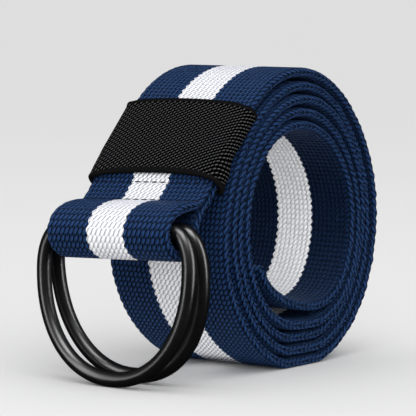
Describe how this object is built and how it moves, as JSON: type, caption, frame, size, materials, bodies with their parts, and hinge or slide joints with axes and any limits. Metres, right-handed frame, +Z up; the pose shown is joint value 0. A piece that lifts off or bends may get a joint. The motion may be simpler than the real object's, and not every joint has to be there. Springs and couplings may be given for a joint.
{
  "type": "d-ring webbing belt, rolled up",
  "caption": "Navy woven webbing belt with a white centre stripe, rolled into a standing coil, with a black elastic keeper and two D-rings in its sewn end loop.",
  "frame": {"origin": "on the floor under the middle of the belt's bounding box", "axes": "+Z up, Y along the coil's axis, the sewn end and its rings at -X, the coil at +X"},
  "size_m": [0.11, 0.0498, 0.0832],
  "materials": {
    "webbing": "matte woven",
    "elastic": "matte knitted",
    "ring_metal": "satin black"
  },
  "bodies": {
    "belt": {"webbing": "webbing", "keeper": "elastic"},
    "ring_front": {"d_ring_front": "ring_metal"},
    "ring_back": {"d_ring_back": "ring_metal"}
  },
  "joints": [
    {"name": "front_ring_swing", "type": "hinge", "parent": "belt", "child": "ring_front", "pos_m": [-0.04955, 0.00035, 0.04055], "axis": [0, 0.9994, -0.0349], "range_deg": [0, 170]},
    {"name": "back_ring_swing", "type": "hinge", "parent": "belt", "child": "ring_back", "pos_m": [-0.04515, 0.00035, 0.04045], "axis": [0, 0.9994, -0.0349], "range_deg": [-32, 0]}
  ]
}
